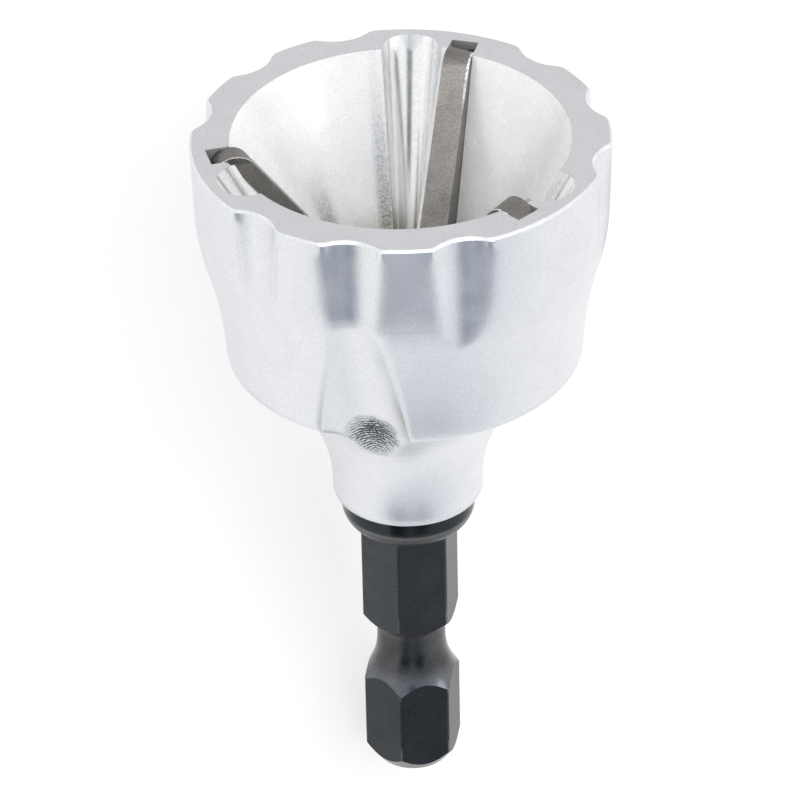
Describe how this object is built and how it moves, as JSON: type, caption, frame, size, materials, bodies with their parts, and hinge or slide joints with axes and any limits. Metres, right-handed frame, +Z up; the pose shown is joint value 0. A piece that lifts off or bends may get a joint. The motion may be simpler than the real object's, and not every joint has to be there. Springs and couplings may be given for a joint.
{
  "type": "chamfering bit",
  "caption": "Hex-shank chamfering bit with a conical aluminium mouth and steel blades set in its wall, for rounding off the end of a bar, bolt or tube",
  "frame": {"origin": "on the table under the middle of the tool's box, with the tool lying as it comes to rest", "axes": "+Y runs along the tool from the mouth towards the shank's end, +Z is up, and the mouth tips up by 13.8 degrees"},
  "size_m": [0.029, 0.056, 0.0302],
  "materials": {
    "cast_aluminium": "satin die casting, with a flat matt rim",
    "black_steel": "turned steel, blackened",
    "blade_steel": "hardened steel plate with a ground front"
  },
  "bodies": {
    "root": {"head": "cast_aluminium", "shank": "black_steel", "blade_1": "blade_steel", "blade_2": "blade_steel", "blade_3": "blade_steel"}
  },
  "joints": []
}
